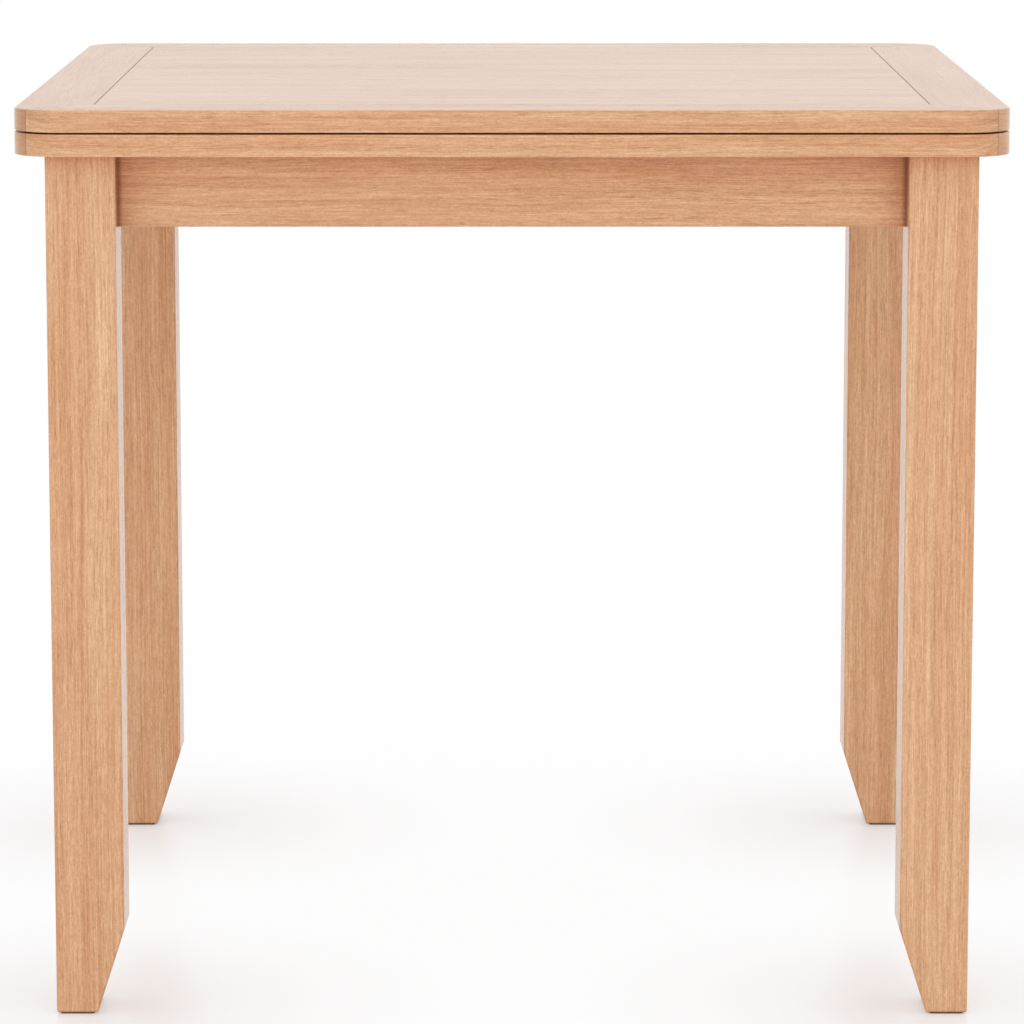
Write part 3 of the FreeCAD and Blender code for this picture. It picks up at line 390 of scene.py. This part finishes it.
def brushed_brass(name):
    """Brass brushed from side to side and left bare: warm yellow metal with fine lines, drawn
    as coarse as they need to show, and slightly browner patches where it has tarnished."""
    material, tree = new_material(name)
    place = add(tree, "VectorMath", (add(tree, "TexCoord", out="Object"), (MM, MM, MM)),
                operation="MULTIPLY")
    lines = add(tree, "TexNoise", {
        "Vector": add(tree, "VectorMath", (place, BRUSH_LINE), operation="DIVIDE"),
        "Scale": 1.0, "Detail": 3.0, "Roughness": 0.7})
    tarnish = add(tree, "TexNoise", {
        "Vector": place, "Scale": 1 / TARNISH, "Detail": 2.0, "Roughness": 0.5})
    shade = add(tree, "Mix", {0: 0.6, 2: tarnish, 3: lines}, data_type="FLOAT")
    colour = add(tree, "ValToRGB", (shade,), stops=(
        (0.34, "#c3954f"), (0.5, "#d9b06a"), (0.66, "#e8c88a")))
    shader = add(tree, "BsdfPrincipled", {
        "Base Color": colour, "Metallic": 1.0,
        "Roughness": add(tree, "MapRange", {"Value": lines, "To Min": 0.2, "To Max": 0.45}),
        "Normal": add(tree, "Bump", {"Height": lines, "Strength": 0.15, "Distance": 0.0001})})
    add(tree, "OutputMaterial", (shader,))
    return material


# ---------------------------------------------------------------- plastic, rubber and felt
FLOW = 9.0                       # mm, a cloud in moulded plastic
WOOL_TANGLE = 1.6                # mm, a knot of fibres in felt


def moulded(name, darker, lighter, grit, roughness, glow):
    """Moulded nylon or rubber: one milky colour with faint cloudy flow, a fine grit from the
    mould of the given size in millimetres, and a little light let through below the skin."""
    material, tree = new_material(name)
    place = add(tree, "TexCoord", out="Object")
    flow = add(tree, "TexNoise", {
        "Vector": place, "Scale": MM / FLOW, "Detail": 2.0, "Roughness": 0.5})
    skin = add(tree, "TexNoise", {
        "Vector": place, "Scale": MM / grit, "Detail": 2.0, "Roughness": 0.6})
    shader = add(tree, "BsdfPrincipled", {
        "Base Color": add(tree, "ValToRGB", (flow,), stops=((0.35, darker), (0.65, lighter))),
        "Roughness": add(tree, "MapRange", {
            "Value": skin, "To Min": roughness - 0.12, "To Max": roughness + 0.12}),
        "IOR": 1.53, "Subsurface Weight": glow, "Subsurface Radius": (1, 1, 1),
        "Subsurface Scale": 0.001,
        "Normal": add(tree, "Bump", {"Height": skin, "Strength": 0.2, "Distance": 0.0001})})
    add(tree, "OutputMaterial", (shader,))
    return material


def wool_felt(name):
    """Pressed brown wool: a matt tangle of lighter and darker fibres with a soft fuzz."""
    material, tree = new_material(name)
    place = add(tree, "VectorMath", (add(tree, "TexCoord", out="Object"), (MM, MM, MM)),
                operation="MULTIPLY")
    tangle = add(tree, "TexNoise", {
        "Vector": place, "Scale": 1 / WOOL_TANGLE, "Detail": 5.0, "Roughness": 0.75,
        "Distortion": 1.5})
    shader = add(tree, "BsdfPrincipled", {
        "Base Color": add(tree, "ValToRGB", (tangle,), stops=(
            (0.33, "#3d2e23"), (0.5, "#5a4636"), (0.67, "#7b634e"))),
        "Roughness": 1.0, "IOR": 1.45, "Sheen Weight": 0.3, "Sheen Roughness": 0.5,
        "Normal": add(tree, "Bump", {"Height": tangle, "Strength": 0.8, "Distance": 0.0005})})
    add(tree, "OutputMaterial", (shader,))
    return material


THREADED = {                     # threads of M12 and M8, with the pitches of those sizes
    "pivot_bolt": ((0, 0, 1), 1.75, 0.7525),
    "hanger_bolts": ((math.sqrt(0.5), math.sqrt(0.5), 0), 1.25, 1.0),
}
FITTING = {
    "inner_wood": rail_beech,
    "beech_dowels": dowel_beech,
    "zinc_steel": zinc_steel("zinc_plated_steel"),
    "brass": brushed_brass("brushed_brass"),
    "nylon": moulded("moulded_nylon", "#e4e1d8", "#f1eee6", 0.5, 0.45, 0.15),
    "soft_bumper": moulded("moulded_clear_rubber", "#d3cfc7", "#e4e1da", 0.4, 0.4, 0.3),
    "felt": wool_felt("brown_wool_felt"),
}
for name, node in cad_nodes.items():
    slot = node.data.materials[0].name
    if name in THREADED:
        node.data.materials[0] = zinc_steel("threaded_" + name, *THREADED[name])
    elif name in ("corner_block_front_left", "corner_block_back_right"):
        node.data.materials[0] = falling_beech
    elif name in ("corner_block_front_right", "corner_block_back_left"):
        node.data.materials[0] = rising_beech
    elif slot in FITTING:
        node.data.materials[0] = FITTING[slot]


# ---------------------------------------------------------------- floor, light and camera
WALL_LIGHT = 1.08                # strength of the white round the table, at the horizon
CEILING_LIGHT = 0.88             # and straight above
FLOOR_REACH = 14.0               # m, where the floor has faded into the white round it
FOOT_CENTRE = (0.38, 0.375, 0.0)  # m, the middle of a foot, in each quarter of the floor
NEAR_FOOT = (0.03, 0.35)         # m, from the foot, where the floor's own shade mostly goes
NEAR_FADE = (0.38, 0.90)         # share of white in the floor at those two distances
FAR_FADE = (0.4, 2.5)            # m, from the foot, where the rest of the shade goes


def pale_floor():
    """A matt white studio floor that fades into the white round it, away from the feet. It
    hides nothing from below."""
    material, tree = new_material("matt_white_floor")
    place = add(tree, "TexCoord", out="Object")
    from_foot = add(tree, "VectorMath", (
        add(tree, "VectorMath", (place,), operation="ABSOLUTE"), FOOT_CENTRE),
        operation="SUBTRACT")
    far = add(tree, "VectorMath", (from_foot,), out="Value", operation="LENGTH")
    near = add(tree, "MapRange", {
        "Value": far, "From Min": NEAR_FOOT[0], "From Max": NEAR_FOOT[1],
        "To Min": NEAR_FADE[0], "To Max": NEAR_FADE[1]}, interpolation_type="SMOOTHSTEP")
    fade = add(tree, "MapRange", {
        "Value": far, "From Min": FAR_FADE[0], "From Max": FAR_FADE[1],
        "To Min": near, "To Max": 1.0})
    seen = add(tree, "Math", (
        add(tree, "LightPath", out="Is Camera Ray"), add(tree, "LightPath", out="Is Glossy Ray")),
        operation="MAXIMUM")
    matt = add(tree, "BsdfPrincipled", {"Base Color": "#fcfcff", "Roughness": 0.28})
    white = add(tree, "Emission", {"Color": "#ffffff", "Strength": 1.0})
    both = add(tree, "MixShader", (
        add(tree, "Math", (fade, seen), operation="MULTIPLY"), matt, white))
    below = add(tree, "Math", (
        add(tree, "LightPath", out="Is Camera Ray"),
        add(tree, "NewGeometry", out="Backfacing")), operation="MULTIPLY")
    one_sided = add(tree, "MixShader", (below, both, add(tree, "BsdfTransparent")))
    add(tree, "OutputMaterial", (one_sided,))
    mesh = bpy.data.meshes.new("floor")
    mesh.from_pydata(
        [(x * FLOOR_REACH, y * FLOOR_REACH, 0) for x, y in ((-1, -1), (1, -1), (1, 1), (-1, 1))],
        [], [(0, 1, 2, 3)])
    mesh.materials.append(material)
    floor = bpy.data.objects.new("floor", mesh)
    bpy.context.scene.collection.objects.link(floor)


def surroundings():
    """Even white studio walls: full white to the eye, to gloss and through glass, and near
    that as light, a little less from above."""
    world = bpy.data.worlds.new("studio_white")
    bpy.context.scene.world = world
    world.use_nodes = True
    tree = world.node_tree
    tree.nodes.clear()
    seen = add(tree, "LightPath", out="Is Camera Ray")
    for ray in ("Is Glossy Ray", "Is Transmission Ray"):
        seen = add(tree, "Math", (seen, add(tree, "LightPath", out=ray)), operation="MAXIMUM")
    height = add(tree, "SeparateXYZ", (add(tree, "TexCoord", out="Generated"),), out="Z")
    light = add(tree, "MapRange", {
        "Value": height, "To Min": WALL_LIGHT, "To Max": CEILING_LIGHT})
    strength = add(tree, "Mix", {0: seen, 2: light, 3: 1.0}, data_type="FLOAT")
    back = add(tree, "Background", {"Color": "#ffffff", "Strength": strength})
    add(tree, "OutputWorld", (back,))


def softbox(name, place, target, size, watts):
    """A square area lamp that points at a target. It gives light, and gloss shows the white
    round it instead."""
    lamp = bpy.data.lights.new(name, "AREA")
    lamp.size = size
    lamp.energy = watts
    lamp_object = bpy.data.objects.new(name, lamp)
    lamp_object.location = place
    lamp_object.visible_glossy = False
    aim = [t - p for t, p in zip(target, place)]
    lamp_object.rotation_euler = Vector(aim).to_track_quat("-Z", "Y").to_euler()
    bpy.context.scene.collection.objects.link(lamp_object)


pale_floor()
surroundings()
softbox("front_softbox", place=(0.0, -4.0, 1.0), target=(0.0, 0.0, 0.4), size=2.2, watts=23.0)

CAMERA_FOCAL_PIXELS = 5036.0     # focal length at an image width of 1024 pixels
CAMERA_DISTANCE = 4.258          # m, from the front edge of the top
CAMERA_HEIGHT = 1.134            # m, above the floor
CAMERA_PITCH = math.radians(9.15)
IMAGE_WIDTH = 1024
camera = bpy.data.cameras.new("camera")
camera.sensor_width = 36.0       # mm
camera.lens = CAMERA_FOCAL_PIXELS * camera.sensor_width / IMAGE_WIDTH
camera.clip_end = 100.0
camera_object = bpy.data.objects.new("camera", camera)
camera_object.location = (0.0, -HALF_TOP / MM - CAMERA_DISTANCE, CAMERA_HEIGHT)
camera_object.rotation_euler = (math.pi / 2 - CAMERA_PITCH, 0.0, 0.0)
bpy.context.scene.collection.objects.link(camera_object)
bpy.context.scene.camera = camera_object
bpy.context.scene.view_settings.view_transform = "Standard"
